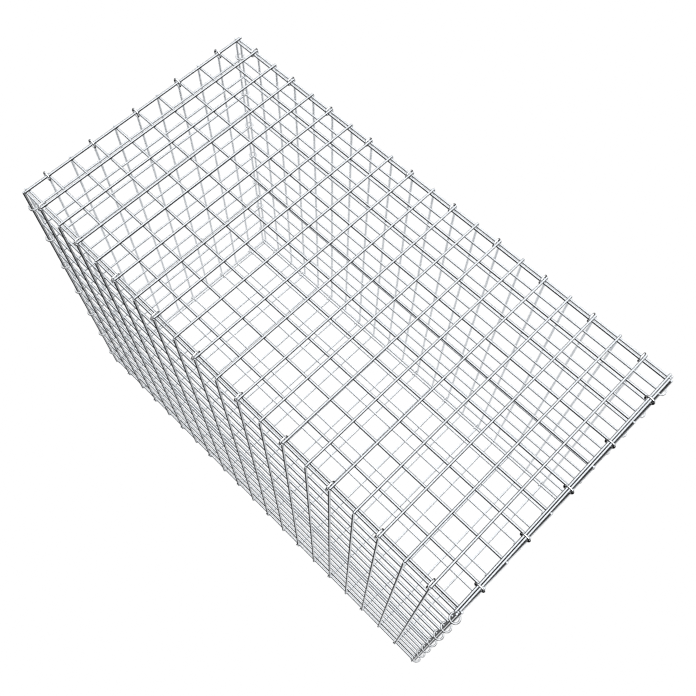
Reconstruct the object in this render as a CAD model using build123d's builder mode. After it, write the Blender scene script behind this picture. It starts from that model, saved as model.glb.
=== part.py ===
"""Gabion basket: six welded wire-mesh panels, laced shut along all twelve edges with C-rings.

Millimetres, +Z up. X runs along the long side and Y from the front to the back. The origin is on
the ground under the middle of the basket, which stands on the rings of its two bottom ends.
"""

import os
from math import degrees, hypot

from build123d import *

# Welded mesh
mesh_pitch = 50.0
wire_diameter = 4.0
weld_sink = 0.4
cells_long = 20
cells_wide = 10
cells_high = 14
wire_sides = 8

# Where the panels meet
lay_gap = 0.3
lid_side_inset = 6.0
lid_end_inset = 4.0

# C-rings
ring_wire = 3.0
ring_mouth = 2.0
ring_every = 2
ring_clearance = 2.1

# Grid of the mesh, and the two layers of wires in a panel
length = mesh_pitch * cells_long
width = mesh_pitch * cells_wide
wall_height = mesh_pitch * cells_high
wire_radius = wire_diameter / 2
layer_step = wire_diameter - weld_sink

# Walls: rows on the edges of the grid, uprights outside them and trimmed flush with the end rows
long_wall_row_y = width / 2
long_wall_upright_y = long_wall_row_y + layer_step
end_wall_row_x = length / 2
end_wall_upright_x = end_wall_row_x + layer_step
upright_reach = wall_height / 2 + wire_radius

# Corners: the end walls stand between the rows of the long walls
long_wall_row_reach = end_wall_upright_x - wire_radius - lay_gap
end_wall_row_reach = long_wall_row_y - wire_radius - lay_gap
end_wall_edge_y = end_wall_row_reach - wire_radius / 2

# Lid and base: cross wires outside and across the long walls, line wires between the walls
cross_wire_rise = wire_diameter + lay_gap
cross_wire_reach = long_wall_upright_y
end_cross_wire_x = end_wall_row_x - lid_end_inset
edge_line_wire_y = long_wall_row_y - lid_side_inset
line_wire_reach = end_wall_row_x - wire_radius - lay_gap

# Rings: one size, which closes round the two uprights at a corner
corner_spread_x = end_wall_upright_x - length / 2
corner_spread_y = long_wall_upright_y - end_wall_edge_y
ring_bore = hypot(corner_spread_x, corner_spread_y) + wire_diameter + 2 * lay_gap
ring_bend_radius = (ring_bore + ring_wire) / 2
ring_outer_radius = ring_bore / 2 + ring_wire
ring_seat = ring_bore / 2 - wire_radius - lay_gap
ring_side_step = (wire_diameter + ring_wire) / 2 + ring_clearance
ring_mouth_angle = degrees(ring_mouth / ring_bend_radius)

# Heights: the rings under the two ends touch the ground
end_pair_spread = hypot(lid_end_inset, cross_wire_rise)
end_ring_drop = cross_wire_rise * (1 - ring_seat / end_pair_spread)
bottom_row_z = end_ring_drop + ring_outer_radius
middle_z = bottom_row_z + wall_height / 2


def even_places(cells):
    """Places of the wires between the two outermost ones, about the panel's middle."""
    return [(step - cells / 2) * mesh_pitch for step in range(1, cells)]


def places_between(cells, outermost):
    """Places of all wires across a panel, with the outermost pair where it is wanted."""
    return [-outermost] + even_places(cells) + [outermost]


def ring_places(cells):
    """Places of the rings along an edge: beside every second wire, and touching none."""
    return [place - ring_side_step for place in even_places(cells)[::ring_every]]


def ring_centre(panel_wire, wall_wire):
    """Centre of a ring that bears on the panel's edge wire and closes round the wall's."""
    spread = hypot(wall_wire[0] - panel_wire[0], wall_wire[1] - panel_wire[1])
    return [start + ring_seat * (end - start) / spread for start, end in zip(panel_wire, wall_wire)]


def write_piece(piece, name):
    """Label a finished piece and write it as a file of its own."""
    piece.label = name
    export_step(piece, f"parts/{name}.step")


def wire_layer(section_plane, places, depth, reach):
    """Parallel wires, side by side along the section plane's X and reaching equally far to both sides."""
    with BuildPart() as layer:
        with BuildSketch(section_plane):
            with Locations(*[(place, depth) for place in places]):
                RegularPolygon(wire_radius, wire_sides, major_radius=False, rotation=180 / wire_sides)
        extrude(amount=reach, both=True)
    return layer.part


def outer_wires(panel_plane, places, depth, reach):
    """The wires of a panel that run along the Y of its outward-facing plane."""
    section_plane = Plane(panel_plane.origin, x_dir=panel_plane.x_dir, z_dir=-panel_plane.y_dir)
    return wire_layer(section_plane, places, depth, reach)


def inner_wires(panel_plane, places, depth, reach):
    """The wires of a panel that run along the X of its outward-facing plane."""
    section_plane = Plane(panel_plane.origin, x_dir=panel_plane.y_dir, z_dir=panel_plane.x_dir)
    return wire_layer(section_plane, places, depth, reach)


def ring_row(name, centre, edge_direction, mouth_direction, places):
    """The C-rings along one edge, on one axis, with their mouths towards the basket's inside."""
    edge_axis = Axis(centre, edge_direction)
    mouth_facing = Vector(*edge_direction).cross(Vector(*mouth_direction))
    tip_facing = mouth_facing.rotate(Axis((0, 0, 0), edge_direction), ring_mouth_angle / 2)
    with BuildPart() as rings:
        with BuildSketch(Plane(centre, x_dir=edge_direction, z_dir=tip_facing)):
            with Locations(*[(place, ring_bend_radius) for place in places]):
                Circle(ring_wire / 2)
        revolve(axis=edge_axis, revolution_arc=360 - ring_mouth_angle)
    write_piece(rings.part, name)


def lid_and_base():
    """The two flat panels, whose cross wires lie over the rows of the long walls.

    The base's wires are sunk into each other. The lid's touch, so each is a solid of its own.
    """
    cross_places = places_between(cells_long, end_cross_wire_x)
    line_places = places_between(cells_wide, edge_line_wire_y)
    top_plane = Plane((0, 0, middle_z + wall_height / 2))
    lid_cross = outer_wires(top_plane, cross_places, cross_wire_rise, cross_wire_reach)
    lid_line = inner_wires(top_plane, line_places, cross_wire_rise - wire_diameter, line_wire_reach)
    write_piece(lid_cross, "lid_cross_wires")
    write_piece(lid_line, "lid_line_wires")
    bottom_plane = Plane((0, 0, bottom_row_z), x_dir=(1, 0, 0), z_dir=(0, 0, -1))
    base_cross = outer_wires(bottom_plane, cross_places, cross_wire_rise, cross_wire_reach)
    base_line = inner_wires(bottom_plane, line_places, cross_wire_rise - layer_step, line_wire_reach)
    write_piece(base_cross + base_line, "base_panel")


def long_walls():
    """The front and back panels, whose outermost uprights stand at the ends of the grid."""
    upright_places = places_between(cells_long, length / 2)
    row_places = places_between(cells_high, wall_height / 2)
    for name, side in (("front_panel", -1), ("back_panel", 1)):
        row_plane = Plane((0, side * long_wall_row_y, middle_z), x_dir=(-side, 0, 0), z_dir=(0, side, 0))
        uprights = outer_wires(row_plane, upright_places, layer_step, upright_reach)
        rows = inner_wires(row_plane, row_places, 0, long_wall_row_reach)
        write_piece(uprights + rows, name)


def end_walls():
    """The left and right panels, whose rows stop between the rows of the long walls."""
    upright_places = places_between(cells_wide, end_wall_edge_y)
    row_places = places_between(cells_high, wall_height / 2)
    for name, side in (("left_end_panel", -1), ("right_end_panel", 1)):
        row_plane = Plane((side * end_wall_row_x, 0, middle_z), x_dir=(0, side, 0), z_dir=(side, 0, 0))
        uprights = outer_wires(row_plane, upright_places, layer_step, upright_reach)
        rows = inner_wires(row_plane, row_places, 0, end_wall_row_reach)
        write_piece(uprights + rows, name)


def lid_and_base_rings():
    """The rings that join the lid and the base to the four walls."""
    row_rise = wall_height / 2
    side_y, side_rise = ring_centre((edge_line_wire_y, row_rise + lay_gap), (long_wall_row_y, row_rise))
    end_x, end_rise = ring_centre((end_cross_wire_x, row_rise + cross_wire_rise), (end_wall_row_x, row_rise))
    for panel, up in (("lid", 1), ("base", -1)):
        for wall, side in (("front", -1), ("back", 1)):
            centre = (0, side * side_y, middle_z + up * side_rise)
            ring_row(f"{panel}_{wall}_rings", centre, (1, 0, 0), (0, -side, -up), ring_places(cells_long))
        for wall, side in (("left", -1), ("right", 1)):
            centre = (side * end_x, 0, middle_z + up * end_rise)
            ring_row(f"{panel}_{wall}_rings", centre, (0, 1, 0), (-side, 0, -up), ring_places(cells_wide))


def corner_rings():
    """The rings that join the walls to each other up the four corners, just over their rows."""
    corner_x, corner_y = ring_centre((end_wall_upright_x, end_wall_edge_y), (length / 2, long_wall_upright_y))
    for wall, front in (("front", -1), ("back", 1)):
        for end, side in (("left", -1), ("right", 1)):
            centre = (side * corner_x, front * corner_y, middle_z)
            name = f"{wall}_{end}_corner_rings"
            ring_row(name, centre, (0, 0, -1), (-side, -front, 0), ring_places(cells_high))


os.makedirs("parts", exist_ok=True)
lid_and_base()
long_walls()
end_walls()
lid_and_base_rings()
corner_rings()
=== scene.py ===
"""Looks of the gabion basket: round welded wires, C-rings and their zinc, in a white studio.

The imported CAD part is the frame. The places of all wires and rings are read from its nodes, in
metres, with +X along the long side, +Y from the front to the back and +Z up.
"""

from __future__ import annotations

import logging
import math
import random
from dataclasses import dataclass, field, replace
from enum import Enum

import bpy
from mathutils import Euler, Matrix, Vector

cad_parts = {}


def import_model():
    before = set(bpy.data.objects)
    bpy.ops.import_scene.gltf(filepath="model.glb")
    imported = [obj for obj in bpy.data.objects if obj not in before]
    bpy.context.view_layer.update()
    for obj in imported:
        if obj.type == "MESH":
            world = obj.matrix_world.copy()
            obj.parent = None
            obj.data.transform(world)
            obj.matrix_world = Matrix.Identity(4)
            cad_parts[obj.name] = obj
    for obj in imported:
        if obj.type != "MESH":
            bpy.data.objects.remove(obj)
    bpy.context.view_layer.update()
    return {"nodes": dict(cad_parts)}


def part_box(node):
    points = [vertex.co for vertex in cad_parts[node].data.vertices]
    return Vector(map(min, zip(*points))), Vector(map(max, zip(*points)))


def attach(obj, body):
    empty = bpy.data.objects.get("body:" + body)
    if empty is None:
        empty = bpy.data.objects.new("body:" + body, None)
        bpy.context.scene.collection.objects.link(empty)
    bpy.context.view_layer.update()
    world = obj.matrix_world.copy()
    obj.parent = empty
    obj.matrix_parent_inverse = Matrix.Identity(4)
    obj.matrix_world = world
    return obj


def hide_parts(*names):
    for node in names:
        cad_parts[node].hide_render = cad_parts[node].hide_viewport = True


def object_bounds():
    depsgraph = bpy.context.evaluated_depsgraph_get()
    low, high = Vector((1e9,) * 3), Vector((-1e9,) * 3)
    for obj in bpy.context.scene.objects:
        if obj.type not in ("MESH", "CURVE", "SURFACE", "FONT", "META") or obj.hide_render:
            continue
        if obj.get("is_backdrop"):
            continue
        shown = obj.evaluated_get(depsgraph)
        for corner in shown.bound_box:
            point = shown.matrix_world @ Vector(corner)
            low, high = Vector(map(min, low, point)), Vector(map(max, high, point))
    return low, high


LOG = logging.getLogger("gabion_basket")
BODY = "root"
PIECE_ENDING = "_round"

Colour = tuple[float, float, float]
Pairs = tuple[tuple[float, float], ...]

WHITE = (1.0, 1.0, 1.0, 1.0)
OPAQUE = 1.0
RIGHT_ANGLE = 90.0

# The photograph's side in pixels, and a picture's middle as a share of its side
IMAGE_SIDE = 696
IMAGE_MIDDLE = 0.5

# Weld beads: their mark on a mesh, and their outline as pairs of level and width
WELD_ATTRIBUTE = "weld"
WELD_MARK = 1.0
WELD_PROFILE: Pairs = ((-1.0, 0.45), (-0.6, 0.85), (0.0, 1.0), (0.6, 0.85), (1.0, 0.45))

# Colour sockets of a Mix node, whose names its other sockets have too
MIX_FIRST = 6
MIX_SECOND = 7
MIX_RESULT = 2

# Rings stand beside every second wire
RING_EVERY = 2

# Rows of rings that are lit together
LID_RINGS = ("lid_front_rings", "lid_back_rings", "lid_left_rings", "lid_right_rings")
BASE_RINGS = ("base_front_rings", "base_back_rings", "base_left_rings", "base_right_rings")


class Slot(Enum):
    """The record's material slots."""

    MESH_WIRE = "mesh_wire"
    RING_WIRE = "ring_wire"


class WeldSeed(Enum):
    """The seeds of the panels' weld beads."""

    LID = 11
    BASE = 12
    FRONT = 13
    BACK = 14
    LEFT_END = 15
    RIGHT_END = 16


class Side(Enum):
    """Where a wall stands on the axis that it faces: at its low or its high end."""

    LOW = "low"
    HIGH = "high"


class Along(Enum):
    """The direction in which a wire runs, or in which wires stand side by side."""

    X = 0
    Y = 1
    Z = 2

    def unit(self) -> Vector:
        """The unit vector of this direction."""
        return Vector([1.0 if axis == self.value else 0.0 for axis in range(3)])


class Value:
    """A shader socket that can be used in Python sums, each of which adds a Math node."""

    def __init__(self, graph: Graph, socket: bpy.types.NodeSocket) -> None:
        """Hold a socket and the graph that it belongs to."""
        self.graph = graph
        self.socket = socket

    def _math(self, operation: str, first: object, second: object) -> Value:
        """Add one Math node on two values.

        Args:
            operation: the Math node's operation.
            first: its first value, a number or a Value.
            second: its second value, a number or a Value.

        Returns:
            The node's result.
        """
        return self.graph.node("ShaderNodeMath", {"operation": operation}, {0: first, 1: second})

    def __add__(self, other: object) -> Value:
        """This value plus another."""
        return self._math("ADD", self, other)

    def __radd__(self, other: object) -> Value:
        """Another value plus this one."""
        return self._math("ADD", other, self)

    def __sub__(self, other: object) -> Value:
        """This value less another."""
        return self._math("SUBTRACT", self, other)

    def __rsub__(self, other: object) -> Value:
        """Another value less this one."""
        return self._math("SUBTRACT", other, self)

    def __mul__(self, other: object) -> Value:
        """This value times another."""
        return self._math("MULTIPLY", self, other)

    def __rmul__(self, other: object) -> Value:
        """Another value times this one."""
        return self._math("MULTIPLY", other, self)


class Graph:
    """A shader node tree that is filled by calls."""

    def __init__(self, tree: bpy.types.NodeTree) -> None:
        """Start from an empty tree."""
        self.tree = tree
        tree.nodes.clear()

    def node(
        self,
        kind: str,
        settings: dict[str, object] | None = None,
        inputs: dict[str | int, object] | None = None,
        output: str | int = 0,
    ) -> Value:
        """Add a node, with its settings first and then its sockets.

        Args:
            kind: the node's type name.
            settings: attributes of the node.
            inputs: numbers, colours or Values by socket name or index.
            output: the output socket that is handed back, by name or index.

        Returns:
            The chosen output socket, or the first input of a node that has no output.
        """
        made = self.tree.nodes.new(kind)
        for name, setting in (settings or {}).items():
            setattr(made, name, setting)
        for name, given in (inputs or {}).items():
            if isinstance(given, Value):
                self.tree.links.new(given.socket, made.inputs[name])
            else:
                made.inputs[name].default_value = given
        return Value(self, made.outputs[output] if made.outputs else made.inputs[0])

    def noise(self, place: Value, scale: float, detail: float) -> Value:
        """Add soft noise over a surface.

        Args:
            place: where on the object a point lies.
            scale: how many lumps fit in a metre.
            detail: how many finer layers the noise has.

        Returns:
            A value from 0 to 1.
        """
        return self.node("ShaderNodeTexNoise", {}, {"Vector": place, "Scale": scale, "Detail": detail})

    def blend(self, share: Value, first: object, second: object) -> Value:
        """Mix two colours.

        Args:
            share: how much of the second colour shows.
            first: a colour, or a Value that is one.
            second: another colour.

        Returns:
            The mixed colour.
        """
        colours = {"Factor": share, MIX_FIRST: first, MIX_SECOND: second}
        return self.node("ShaderNodeMix", {"data_type": "RGBA"}, colours, MIX_RESULT)

    def patch(self, turn: float, tilt: float, rim: tuple[float, float]) -> Value:
        """Add a round bright part of a world with a soft rim, all angles in degrees.

        Args:
            turn: the azimuth of its middle.
            tilt: the angle of its middle from straight up.
            rim: the angles from its middle at which it has faded out and is full.

        Returns:
            A mask from 0 outside to 1 inside.
        """
        level = math.sin(math.radians(tilt))
        axis = (
            level * math.cos(math.radians(turn)),
            level * math.sin(math.radians(turn)),
            math.cos(math.radians(tilt)),
        )
        towards = self.node("ShaderNodeTexCoord", output="Generated")
        closeness = self.node(
            "ShaderNodeVectorMath", {"operation": "DOT_PRODUCT"}, {0: towards, 1: axis}, "Value"
        )
        outer, inner = (math.cos(math.radians(angle)) for angle in rim)
        return self.node(
            "ShaderNodeMapRange",
            {"interpolation_type": "SMOOTHSTEP"},
            {"Value": closeness, "From Min": outer, "From Max": inner},
        )


@dataclass(frozen=True)
class ZincFinish:
    """Hot-dip zinc on drawn wire: fine spangle, dull patches, and darker weld points."""

    name: str
    bright: Colour
    dull: Colour
    spangle_scale: float
    patch_scale: float
    grain_scale: float
    metallic: float = 0.95
    smooth_roughness: float = 0.16
    rough_roughness: float = 0.26
    spangle_share: float = 0.45
    spangle_height: float = 0.5
    patch_detail: float = 3.0
    grain_detail: float = 2.0
    grain_depth: float = 0.00002
    bump_strength: float = 0.5
    weld: Colour = (0.50, 0.51, 0.52)
    weld_cover: float = 0.8
    weld_roughness: float = 0.38

    def material(self) -> bpy.types.Material:
        """Make the material.

        Returns:
            A node material for the wires of one slot.
        """
        made = bpy.data.materials.new(self.name)
        made.use_nodes = True
        graph = Graph(made.node_tree)
        place = graph.node("ShaderNodeTexCoord", output="Object")
        spangle = graph.node(
            "ShaderNodeTexVoronoi",
            {"feature": "F1"},
            {"Vector": place, "Scale": self.spangle_scale},
            "Distance",
        )
        patches = graph.noise(place, self.patch_scale, self.patch_detail)
        grain = graph.noise(place, self.grain_scale, self.grain_detail)
        welded = graph.node("ShaderNodeAttribute", {"attribute_name": WELD_ATTRIBUTE}, {}, "Fac")
        dullness = patches + (spangle - patches) * self.spangle_share
        zinc = graph.blend(dullness, (*self.bright, OPAQUE), (*self.dull, OPAQUE))
        colour = graph.blend(welded * self.weld_cover, zinc, (*self.weld, OPAQUE))
        spread = self.rough_roughness - self.smooth_roughness
        bare_roughness = dullness * spread + self.smooth_roughness
        roughness = bare_roughness * (1 - welded) + welded * self.weld_roughness
        height = grain + spangle * self.spangle_height
        bump = graph.node(
            "ShaderNodeBump",
            {},
            {"Strength": self.bump_strength, "Distance": self.grain_depth, "Height": height},
            "Normal",
        )
        shader = graph.node(
            "ShaderNodeBsdfPrincipled",
            {},
            {"Base Color": colour, "Metallic": self.metallic, "Roughness": roughness, "Normal": bump},
        )
        graph.node("ShaderNodeOutputMaterial", {}, {"Surface": shader})
        return made


MESH_ZINC = ZincFinish(
    name="galvanised_mesh_wire",
    bright=(0.80, 0.815, 0.83),
    dull=(0.66, 0.675, 0.69),
    spangle_scale=420.0,
    patch_scale=60.0,
    grain_scale=1500.0,
)

RING_ZINC = ZincFinish(
    name="galvanised_ring_wire",
    bright=(0.80, 0.81, 0.82),
    dull=(0.68, 0.69, 0.70),
    spangle_scale=700.0,
    patch_scale=90.0,
    grain_scale=2200.0,
)


@dataclass
class WireMesh:
    """Vertices and faces of round wires, gathered before they become one piece."""

    sides: int = 14
    points: list[Vector] = field(default_factory=list)
    faces: list[tuple[int, ...]] = field(default_factory=list)
    flat_faces: list[int] = field(default_factory=list)
    weld_points: list[int] = field(default_factory=list)

    def loop(self, centre: Vector, first: Vector, second: Vector, radius: float) -> int:
        """Add one ring of points round a wire.

        Args:
            centre: the middle of the ring.
            first: a unit vector across the wire.
            second: another one, square to it.
            radius: the ring's radius.

        Returns:
            The index of the ring's first point.
        """
        start = len(self.points)
        for side in range(self.sides):
            turn = 2 * math.pi * side / self.sides
            self.points.append(centre + radius * (math.cos(turn) * first + math.sin(turn) * second))
        return start

    def skin(self, lower: int, upper: int) -> None:
        """Join two rings of points by a band of faces.

        Args:
            lower: the index of the first ring's first point.
            upper: the index of the second ring's first point.
        """
        for side in range(self.sides):
            after = (side + 1) % self.sides
            self.faces.append((lower + side, lower + after, upper + after, upper + side))

    def cap(self, ring: int, outward: bool) -> None:
        """Close a ring of points with one flat face.

        Args:
            ring: the index of the ring's first point.
            outward: whether the face looks along the ring's axis, rather than against it.
        """
        order = range(self.sides) if outward else reversed(range(self.sides))
        self.flat_faces.append(len(self.faces))
        self.faces.append(tuple(ring + side for side in order))

    def straight_wire(self, start: Vector, end: Vector, radius: float, burr: float) -> None:
        """Add a straight wire with sheared ends.

        Args:
            start: the middle of one end.
            end: the middle of the other end.
            radius: the wire's radius.
            burr: how far each end is rounded off by the shears.
        """
        run = (end - start).normalized()
        first = run.orthogonal().normalized()
        second = run.cross(first)
        rings = [self.loop(start, first, second, radius - burr)]
        # The second full ring at each end keeps the rounding out of the long wire's shading
        step = burr * run
        for middle in (start + step, start + 2 * step, end - 2 * step, end - step):
            rings.append(self.loop(middle, first, second, radius))
        rings.append(self.loop(end, first, second, radius - burr))
        for lower, upper in zip(rings, rings[1:]):
            self.skin(lower, upper)
        self.cap(rings[0], False)
        self.cap(rings[-1], True)

    def bent_wire(self, centres: list[Vector], axis: Vector, hub: Vector, radii: list[float]) -> None:
        """Add a wire bent round a hub, one ring of points for each centre.

        Args:
            centres: the middle line, in order.
            axis: the direction of the bend's axis.
            hub: the middle of the bend.
            radii: the wire's radius at each centre.
        """
        rings = []
        for centre, radius in zip(centres, radii):
            outwards = (centre - hub).normalized()
            rings.append(self.loop(centre, outwards, axis, radius))
        for lower, upper in zip(rings, rings[1:]):
            self.skin(upper, lower)
        self.cap(rings[0], True)
        self.cap(rings[-1], False)

    def weld(self, centre: Vector, normal: Vector, across: float, thick: float) -> None:
        """Add the squeezed-out bead of a spot weld between two crossing wires.

        Args:
            centre: the middle of the weld.
            normal: the direction in which the wires were pressed together.
            across: the bead's radius in the plane of the panel.
            thick: the bead's half thickness.
        """
        first = normal.orthogonal().normalized()
        second = normal.cross(first)
        lowest = len(self.points)
        rings = []
        for level, width in WELD_PROFILE:
            rings.append(self.loop(centre + level * thick * normal, first, second, width * across))
        for lower, upper in zip(rings, rings[1:]):
            self.skin(lower, upper)
        self.cap(rings[0], False)
        self.cap(rings[-1], True)
        self.weld_points.extend(range(lowest, len(self.points)))

    def piece(self, name: str, material: bpy.types.Material) -> bpy.types.Object:
        """Turn what was gathered into one object.

        Args:
            name: the piece's name.
            material: its finish.

        Returns:
            The object, linked to the scene.
        """
        mesh = bpy.data.meshes.new(name)
        mesh.from_pydata([tuple(point) for point in self.points], [], self.faces)
        mesh.polygons.foreach_set("use_smooth", [True] * len(self.faces))
        for index in self.flat_faces:
            mesh.polygons[index].use_smooth = False
        welded = mesh.attributes.new(WELD_ATTRIBUTE, "FLOAT", "POINT")
        for index in self.weld_points:
            welded.data[index].value = WELD_MARK
        mesh.materials.append(material)
        mesh.update()
        made = bpy.data.objects.new(name, mesh)
        bpy.context.scene.collection.objects.link(made)
        return made


def stand_for(made: bpy.types.Object, node: str) -> None:
    """Let a piece stand for its CAD node, and keep it out of the mirror images in other pieces.

    Args:
        made: the piece.
        node: the CAD node, which is hidden.
    """
    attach(made, BODY)
    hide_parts(node)
    made.visible_glossy = False


def spread_evenly(low: float, high: float, count: int) -> list[float]:
    """Places from low to high at equal steps.

    Args:
        low: the first place.
        high: the last place.
        count: how many places there are.

    Returns:
        The places in order.
    """
    return [low + (high - low) * step / (count - 1) for step in range(count)]


@dataclass(frozen=True)
class MeshGrid:
    """The mesh that all panels share: its pitch, its cells, its wire and its welds."""

    pitch: float = 0.05
    cells_long: int = 20
    cells_wide: int = 10
    cells_high: int = 14
    lay_gap: float = 0.0003
    end_row_overhang: float = 0.001
    shear_burr: float = 0.00035
    weld_across: float = 0.0021
    weld_thick: float = 0.0010
    weld_swell: tuple[float, float] = (0.88, 1.12)

    def wire_radius(self) -> float:
        """The wire's radius, from the thickness of the lid's cross wires."""
        low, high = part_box("lid_cross_wires")
        return (high.z - low.z) / 2

    def places(self, cells: int, outermost: float) -> list[float]:
        """Places of the wires across a panel.

        Args:
            cells: the number of cells across the panel.
            outermost: how far out the two outermost wires stand.

        Returns:
            The places about the panel's middle, in order.
        """
        between = [(step - cells / 2) * self.pitch for step in range(1, cells)]
        return [-outermost, *between, outermost]


@dataclass(frozen=True)
class WireLayer:
    """One layer of a panel: parallel wires at one depth."""

    runs: Along
    beside: Along
    deep: Along
    places: list[float]
    depth: float
    low: float
    high: float

    def point(self, run: float, place: float) -> Vector:
        """A point on the middle line of one of the wires."""
        return run * self.runs.unit() + place * self.beside.unit() + self.depth * self.deep.unit()

    def add_to(self, mesh: WireMesh, radius: float, burr: float) -> None:
        """Add every wire of the layer to a mesh."""
        for place in self.places:
            mesh.straight_wire(self.point(self.low, place), self.point(self.high, place), radius, burr)


@dataclass(frozen=True)
class WirePanel:
    """A flat panel: two crossing layers of wires, welded where they cross."""

    nodes: tuple[str, ...]
    first: WireLayer
    second: WireLayer
    grid: MeshGrid
    seed: WeldSeed

    def add_welds(self, mesh: WireMesh) -> None:
        """Add the weld beads of all crossings, each a little different.

        Args:
            mesh: the mesh that takes them.
        """
        draw = random.Random(self.seed.value)
        normal = self.first.deep.unit()
        depth = (self.first.depth + self.second.depth) / 2
        for along in self.first.places:
            for across in self.second.places:
                centre = along * self.first.beside.unit() + across * self.second.beside.unit()
                centre += depth * normal
                swell = draw.uniform(*self.grid.weld_swell)
                mesh.weld(centre, normal, self.grid.weld_across * swell, self.grid.weld_thick * swell)

    def build(self, material: bpy.types.Material) -> dict[str, bpy.types.Object]:
        """Build the panel. Where it has two CAD nodes, each layer is a piece of its own.

        Args:
            material: the finish of the wires.

        Returns:
            The pieces by the CAD nodes that they stand for.
        """
        radius = self.grid.wire_radius()
        meshes = {node: WireMesh() for node in self.nodes}
        self.first.add_to(meshes[self.nodes[0]], radius, self.grid.shear_burr)
        self.second.add_to(meshes[self.nodes[-1]], radius, self.grid.shear_burr)
        self.add_welds(meshes[self.nodes[-1]])
        pieces = {}
        for node, mesh in meshes.items():
            made = mesh.piece(f"{node}{PIECE_ENDING}", material)
            stand_for(made, node)
            pieces[node] = made
        return pieces


@dataclass(frozen=True)
class PanelMaker:
    """Reads the places of the wires from the CAD nodes and lays out the six panels."""

    grid: MeshGrid

    def lid(self) -> WirePanel:
        """Lay out the lid.

        Returns:
            The lid, with its cross wires over its line wires.
        """
        radius = self.grid.wire_radius()
        cross_low, cross_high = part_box("lid_cross_wires")
        line_low, line_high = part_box("lid_line_wires")
        cross = WireLayer(
            runs=Along.Y,
            beside=Along.X,
            deep=Along.Z,
            places=self.grid.places(self.grid.cells_long, cross_high.x - radius),
            depth=cross_high.z - radius,
            low=cross_low.y,
            high=cross_high.y,
        )
        line = WireLayer(
            runs=Along.X,
            beside=Along.Y,
            deep=Along.Z,
            places=self.grid.places(self.grid.cells_wide, line_high.y - radius),
            depth=line_high.z - radius,
            low=line_low.x,
            high=line_high.x,
        )
        return WirePanel(("lid_cross_wires", "lid_line_wires"), cross, line, self.grid, WeldSeed.LID)

    def base(self) -> WirePanel:
        """Lay out the base.

        Returns:
            The base, which has the lid's wires again, with the cross wires below.
        """
        radius = self.grid.wire_radius()
        low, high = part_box("base_panel")
        lid = self.lid()
        cross = replace(lid.first, depth=low.z + radius)
        line = replace(lid.second, depth=high.z - radius)
        return WirePanel(("base_panel",), cross, line, self.grid, WeldSeed.BASE)

    def wall_depths(self, low: float, high: float, side: Side) -> tuple[float, float]:
        """Depths of a wall's two layers.

        Args:
            low: the low end of the wall on the axis that it faces.
            high: the high end of it.
            side: the side of the basket on which the wall stands.

        Returns:
            The depth of the uprights, which are outside, and that of the rows.
        """
        radius = self.grid.wire_radius()
        if side is Side.LOW:
            return low + radius, high - radius
        return high - radius, low + radius

    def row_heights(self, low: float, high: float) -> list[float]:
        """Heights of the rows of a wall that stands from low to high."""
        radius = self.grid.wire_radius()
        return spread_evenly(low + radius, high - radius, self.grid.cells_high + 1)

    def long_wall(self, node: str, side: Side, seed: WeldSeed) -> WirePanel:
        """Lay out the front or back wall, whose rows reach up to the uprights of the end walls.

        Args:
            node: the wall's CAD node.
            side: low for the front and high for the back.
            seed: the seed of its welds.

        Returns:
            The wall, with its uprights outside.
        """
        low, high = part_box(node)
        upright_y, row_y = self.wall_depths(low.y, high.y, side)
        wire_thickness = 2 * self.grid.wire_radius()
        row_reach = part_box("right_end_panel")[1].x - wire_thickness - self.grid.lay_gap
        uprights = WireLayer(
            runs=Along.Z,
            beside=Along.X,
            deep=Along.Y,
            places=self.grid.places(self.grid.cells_long, self.grid.pitch * self.grid.cells_long / 2),
            depth=upright_y,
            low=low.z,
            high=high.z,
        )
        rows = WireLayer(
            runs=Along.X,
            beside=Along.Z,
            deep=Along.Y,
            places=self.row_heights(low.z, high.z),
            depth=row_y,
            low=-row_reach,
            high=row_reach,
        )
        return WirePanel((node,), uprights, rows, self.grid, seed)

    def end_wall(self, node: str, side: Side, seed: WeldSeed) -> WirePanel:
        """Lay out the left or right wall, whose rows end just past its outermost uprights.

        Args:
            node: the wall's CAD node.
            side: low for the left and high for the right.
            seed: the seed of its welds.

        Returns:
            The wall, with its uprights outside.
        """
        low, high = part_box(node)
        upright_x, row_x = self.wall_depths(low.x, high.x, side)
        outermost = high.y - self.grid.wire_radius()
        row_reach = outermost + self.grid.end_row_overhang
        uprights = WireLayer(
            runs=Along.Z,
            beside=Along.Y,
            deep=Along.X,
            places=self.grid.places(self.grid.cells_wide, outermost),
            depth=upright_x,
            low=low.z,
            high=high.z,
        )
        rows = WireLayer(
            runs=Along.Y,
            beside=Along.Z,
            deep=Along.X,
            places=self.row_heights(low.z, high.z),
            depth=row_x,
            low=-row_reach,
            high=row_reach,
        )
        return WirePanel((node,), uprights, rows, self.grid, seed)

    def panels(self) -> list[WirePanel]:
        """Lay out the whole basket.

        Returns:
            The six panels.
        """
        return [
            self.lid(),
            self.base(),
            self.long_wall("front_panel", Side.LOW, WeldSeed.FRONT),
            self.long_wall("back_panel", Side.HIGH, WeldSeed.BACK),
            self.end_wall("left_end_panel", Side.LOW, WeldSeed.LEFT_END),
            self.end_wall("right_end_panel", Side.HIGH, WeldSeed.RIGHT_END),
        ]


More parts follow.
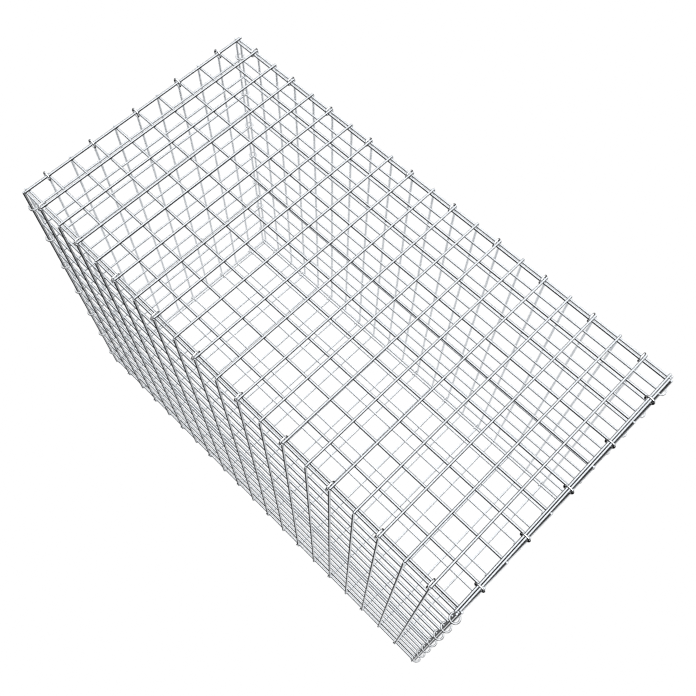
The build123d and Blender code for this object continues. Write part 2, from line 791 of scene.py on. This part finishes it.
@dataclass(frozen=True)
class RingRow:
    """The C-rings along one edge of the basket."""

    node: str
    axis: Along
    inwards: tuple[float, float, float]
    count: int
    wire: float = 0.003
    mouth: float = 0.002
    sides: int = 12
    steps: int = 44
    tip_round: float = 0.0005

    def ring(self, mesh: WireMesh, hub: Vector, bend_radius: float) -> None:
        """Add one ring.

        Args:
            mesh: the mesh that takes it.
            hub: the ring's middle.
            bend_radius: the radius of its middle line.
        """
        axis = self.axis.unit()
        towards_mouth = Vector(self.inwards).normalized()
        half_mouth = self.mouth / bend_radius / 2
        tip_turn = self.tip_round / bend_radius
        last = 2 * math.pi - half_mouth
        between = spread_evenly(half_mouth + tip_turn, last - tip_turn, self.steps)
        turns = [half_mouth, *between, last]
        full = self.wire / 2
        radii = [full - self.tip_round, *[full] * self.steps, full - self.tip_round]
        arm = bend_radius * towards_mouth
        centres = [hub + Matrix.Rotation(turn, 3, axis) @ arm for turn in turns]
        mesh.bent_wire(centres, axis, hub, radii)

    def build(self, material: bpy.types.Material) -> bpy.types.Object:
        """Build the row and let it stand for its CAD node. It throws no shade on the wires.

        Args:
            material: the finish of the rings.

        Returns:
            The piece.
        """
        low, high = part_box(self.node)
        middle = (low + high) / 2
        axis = self.axis.unit()
        across = Along.X if self.axis is not Along.X else Along.Y
        bend_radius = (high - low).dot(across.unit()) / 2 - self.wire / 2
        first = low.dot(axis) + self.wire / 2
        last = high.dot(axis) - self.wire / 2
        mesh = WireMesh(sides=self.sides)
        for place in spread_evenly(first, last, self.count):
            hub = middle + (place - middle.dot(axis)) * axis
            self.ring(mesh, hub, bend_radius)
        made = mesh.piece(f"{self.node}{PIECE_ENDING}", material)
        stand_for(made, self.node)
        made.visible_shadow = False
        return made


def ring_rows(grid: MeshGrid) -> list[RingRow]:
    """The rings along all twelve edges.

    Args:
        grid: the mesh, beside whose wires the rings stand.

    Returns:
        Eight rows round the lid and the base, and four up the corners.
    """
    long_count = grid.cells_long // RING_EVERY
    wide_count = grid.cells_wide // RING_EVERY
    high_count = grid.cells_high // RING_EVERY
    rows = []
    for panel, down in (("lid", -1.0), ("base", 1.0)):
        for wall, inwards in (("front", 1.0), ("back", -1.0)):
            rows.append(RingRow(f"{panel}_{wall}_rings", Along.X, (0.0, inwards, down), long_count))
        for wall, inwards in (("left", 1.0), ("right", -1.0)):
            rows.append(RingRow(f"{panel}_{wall}_rings", Along.Y, (inwards, 0.0, down), wide_count))
    for wall, back in (("front", 1.0), ("back", -1.0)):
        for end, inwards in (("left", 1.0), ("right", -1.0)):
            rows.append(RingRow(f"{wall}_{end}_corner_rings", Along.Z, (inwards, back, 0.0), high_count))
    return rows


@dataclass(frozen=True)
class SoftLamp:
    """A square lamp that faces the basket and lights its own pieces alone, with angles in degrees.

    Most of these lamps hang under the floor, for the light that a white floor throws back up. A lamp
    that is not shaded reaches its pieces through the others.
    """

    name: str
    azimuth: float
    elevation: float
    level: float
    side: float
    nodes: tuple[str, ...]
    distance: float = 4.0
    shaded: bool = True

    def place(self, middle: Vector, pieces: dict[str, bpy.types.Object]) -> None:
        """Hang the lamp, out of the camera's sight.

        Args:
            middle: the basket's middle.
            pieces: the basket's pieces by CAD node, of which it lights its own.
        """
        data = bpy.data.lights.new(self.name, "AREA")
        data.shape = "SQUARE"
        data.size = self.side
        data.use_shadow = self.shaded
        data.energy = self.level * math.pi * self.side**2
        made = bpy.data.objects.new(self.name, data)
        pitch = math.radians(RIGHT_ANGLE - self.elevation)
        turn = (pitch, 0.0, math.radians(self.azimuth + RIGHT_ANGLE))
        made.rotation_euler = turn
        made.location = middle + self.distance * (Euler(turn).to_matrix() @ Along.Z.unit())
        made.visible_camera = False
        bpy.context.scene.collection.objects.link(made)
        receivers = bpy.data.collections.new(f"{self.name}_receivers")
        for node in self.nodes:
            receivers.objects.link(pieces[node])
        made.light_linking.receiver_collection = receivers


SOFT_LAMPS = (
    SoftLamp(
        "base_bounce",
        azimuth=135.0,
        elevation=-62.0,
        level=1.25,
        side=15.0,
        nodes=("base_panel", *BASE_RINGS),
    ),
    SoftLamp(
        "far_wall_bounce",
        azimuth=135.0,
        elevation=-70.0,
        level=1.05,
        side=15.0,
        nodes=("back_panel", "left_end_panel", "back_left_corner_rings", "back_right_corner_rings"),
    ),
    SoftLamp(
        "near_wall_bounce",
        azimuth=60.0,
        elevation=-64.0,
        level=0.55,
        side=5.2,
        nodes=("front_panel", "right_end_panel", "front_left_corner_rings"),
    ),
    SoftLamp(
        "front_fill",
        azimuth=-20.0,
        elevation=-47.0,
        level=0.4,
        side=5.2,
        nodes=("front_panel", "front_left_corner_rings"),
    ),
    SoftLamp(
        "upright_fill",
        azimuth=0.0,
        elevation=-90.0,
        level=0.16,
        side=4.4,
        nodes=("front_panel", "right_end_panel", "front_right_corner_rings"),
    ),
    SoftLamp(
        "right_end_fill",
        azimuth=-20.0,
        elevation=-47.0,
        level=0.4,
        side=5.2,
        nodes=("right_end_panel",),
    ),
    SoftLamp(
        "ring_fill",
        azimuth=-15.0,
        elevation=-30.0,
        level=0.65,
        side=8.0,
        nodes=("lid_front_rings", "lid_back_rings", "lid_left_rings"),
        shaded=False,
    ),
    SoftLamp(
        "ring_sky",
        azimuth=-45.0,
        elevation=65.0,
        level=0.9,
        side=10.0,
        nodes=LID_RINGS,
        shaded=False,
    ),
)


@dataclass(frozen=True)
class PaperTent:
    """White paper under and round the basket, with the tent's outline as pairs of height and radius."""

    floor_side: float = 24.0
    outline: Pairs = ((-0.5, 17.5), (9.0, 15.0), (15.0, 9.0), (17.5, 1.0))
    sides: int = 24
    glow: float = 1.0

    def paper(self) -> bpy.types.Material:
        """Make the plain white paper of the floor and the tent.

        Returns:
            A material that shows as an even white.
        """
        made = bpy.data.materials.new("studio_paper")
        made.use_nodes = True
        graph = Graph(made.node_tree)
        shader = graph.node("ShaderNodeEmission", {}, {"Color": WHITE, "Strength": self.glow})
        graph.node("ShaderNodeOutputMaterial", {}, {"Surface": shader})
        return made

    @staticmethod
    def hang(made: bpy.types.Object) -> None:
        """Mark an object as stage that the camera sees and that neither lights nor shades the wires.

        Args:
            made: the object.
        """
        made.visible_glossy = False
        made.visible_diffuse = False
        made.visible_shadow = False
        made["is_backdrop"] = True

    def floor(self, paper: bpy.types.Material) -> None:
        """Lay the white floor.

        Args:
            paper: its material.
        """
        half = self.floor_side / 2
        mesh = bpy.data.meshes.new("studio_floor")
        corners = [(-half, -half, 0.0), (half, -half, 0.0), (half, half, 0.0), (-half, half, 0.0)]
        mesh.from_pydata(corners, [], [(0, 1, 2, 3)])
        mesh.materials.append(paper)
        made = bpy.data.objects.new("studio_floor", mesh)
        bpy.context.scene.collection.objects.link(made)
        self.hang(made)

    def tent(self, paper: bpy.types.Material) -> None:
        """Hang the white tent over the floor, which is what the camera sees behind the basket.

        Args:
            paper: its material.
        """
        shell = WireMesh(sides=self.sides)
        rings = []
        for height, radius in self.outline:
            rings.append(shell.loop(height * Along.Z.unit(), Along.X.unit(), Along.Y.unit(), radius))
        for lower, upper in zip(rings, rings[1:]):
            shell.skin(lower, upper)
        shell.cap(rings[-1], True)
        self.hang(shell.piece("studio_tent", paper))

    def build(self) -> None:
        """Set up the floor and the tent."""
        paper = self.paper()
        self.floor(paper)
        self.tent(paper)


@dataclass(frozen=True)
class Room:
    """What the wires mirror: a pale sky and a few low lamps over a dark ground, angles in degrees.

    The sky's rim is given from its middle, where it has faded out and where it is full. The low lamps
    are pairs of azimuth and reach.
    """

    sky_level: float = 1.36
    sky_turn: float = 105.0
    sky_tilt: float = 14.0
    sky_rim: tuple[float, float] = (88.5, 74.5)
    ground_level: float = 0.01
    low_lamps: Pairs = ((45.0, 17.0), (139.0, 13.0), (212.0, 22.0), (325.0, 23.0))
    low_lamp_depth: float = 24.0
    low_lamp_fade: float = 8.0

    def build(self) -> None:
        """Make the room the scene's world."""
        world = bpy.data.worlds.new("studio_room")
        world.use_nodes = True
        graph = Graph(world.node_tree)
        ground = graph.node("ShaderNodeBackground", {}, {"Color": WHITE, "Strength": self.ground_level})
        sky = graph.node("ShaderNodeBackground", {}, {"Color": WHITE, "Strength": self.sky_level})
        bright = graph.patch(self.sky_turn, self.sky_tilt, self.sky_rim)
        for turn, reach in self.low_lamps:
            rim = (reach, reach - self.low_lamp_fade)
            bright = bright + graph.patch(turn, RIGHT_ANGLE + self.low_lamp_depth, rim)
        both = graph.node("ShaderNodeMixShader", {}, {0: bright, 1: ground, 2: sky})
        graph.node("ShaderNodeOutputWorld", {}, {"Surface": both})
        bpy.context.scene.world = world


@dataclass(frozen=True)
class PhotoCamera:
    """The camera that was fitted to the photograph's wires, with angles in degrees."""

    azimuth: float = 45.0
    elevation: float = 65.44
    place: tuple[float, float, float] = (0.4936, -0.4939, 1.9129)
    focal_pixels: float = 839.1
    centre_pixels: tuple[float, float] = (330.78, 362.2)
    sensor: float = 36.0

    def build(self) -> None:
        """Set up the camera and make it the scene's."""
        data = bpy.data.cameras.new("photo_camera")
        data.sensor_fit = "HORIZONTAL"
        data.sensor_width = self.sensor
        data.lens = self.focal_pixels / IMAGE_SIDE * self.sensor
        data.shift_x = IMAGE_MIDDLE - self.centre_pixels[0] / IMAGE_SIDE
        data.shift_y = self.centre_pixels[1] / IMAGE_SIDE - IMAGE_MIDDLE
        made = bpy.data.objects.new("photo_camera", data)
        made.location = self.place
        pitch = math.radians(RIGHT_ANGLE - self.elevation)
        made.rotation_euler = (pitch, 0.0, math.radians(self.azimuth))
        bpy.context.scene.collection.objects.link(made)
        bpy.context.scene.camera = made


@dataclass(frozen=True)
class Studio:
    """The white tent, the room's light, the soft lamps, the camera and a plain picture tone."""

    tent: PaperTent = PaperTent()
    room: Room = Room()
    lamps: tuple[SoftLamp, ...] = SOFT_LAMPS
    camera: PhotoCamera = PhotoCamera()
    film_filter: float = 1.38

    def build(self, pieces: dict[str, bpy.types.Object]) -> None:
        """Set up the studio round the basket.

        Args:
            pieces: the basket's pieces by CAD node.
        """
        low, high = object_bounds()
        middle = (Vector(low) + Vector(high)) / 2
        self.tent.build()
        self.room.build()
        for lamp in self.lamps:
            lamp.place(middle, pieces)
        self.camera.build()
        scene = bpy.context.scene
        scene.view_settings.view_transform = "Raw"
        scene.cycles.filter_width = self.film_filter
        scene.cycles.use_denoising = False


def main() -> None:
    """Build the basket's pieces around the frame and report each one."""
    logging.basicConfig(level=logging.INFO, format="%(name)s: %(message)s")
    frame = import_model()
    mesh_zinc = MESH_ZINC.material()
    ring_zinc = RING_ZINC.material()
    grid = MeshGrid()
    pieces: dict[str, bpy.types.Object] = {}
    for panel in PanelMaker(grid).panels():
        pieces.update(panel.build(mesh_zinc))
    for row in ring_rows(grid):
        pieces[row.node] = row.build(ring_zinc)
    for node, made in pieces.items():
        LOG.info("%s stands for %s, with %d faces", made.name, node, len(made.data.polygons))
    LOG.info("%d pieces for %d CAD nodes", len(pieces), len(frame["nodes"]))
    Studio().build(pieces)


if __name__ == "__main__":
    main()
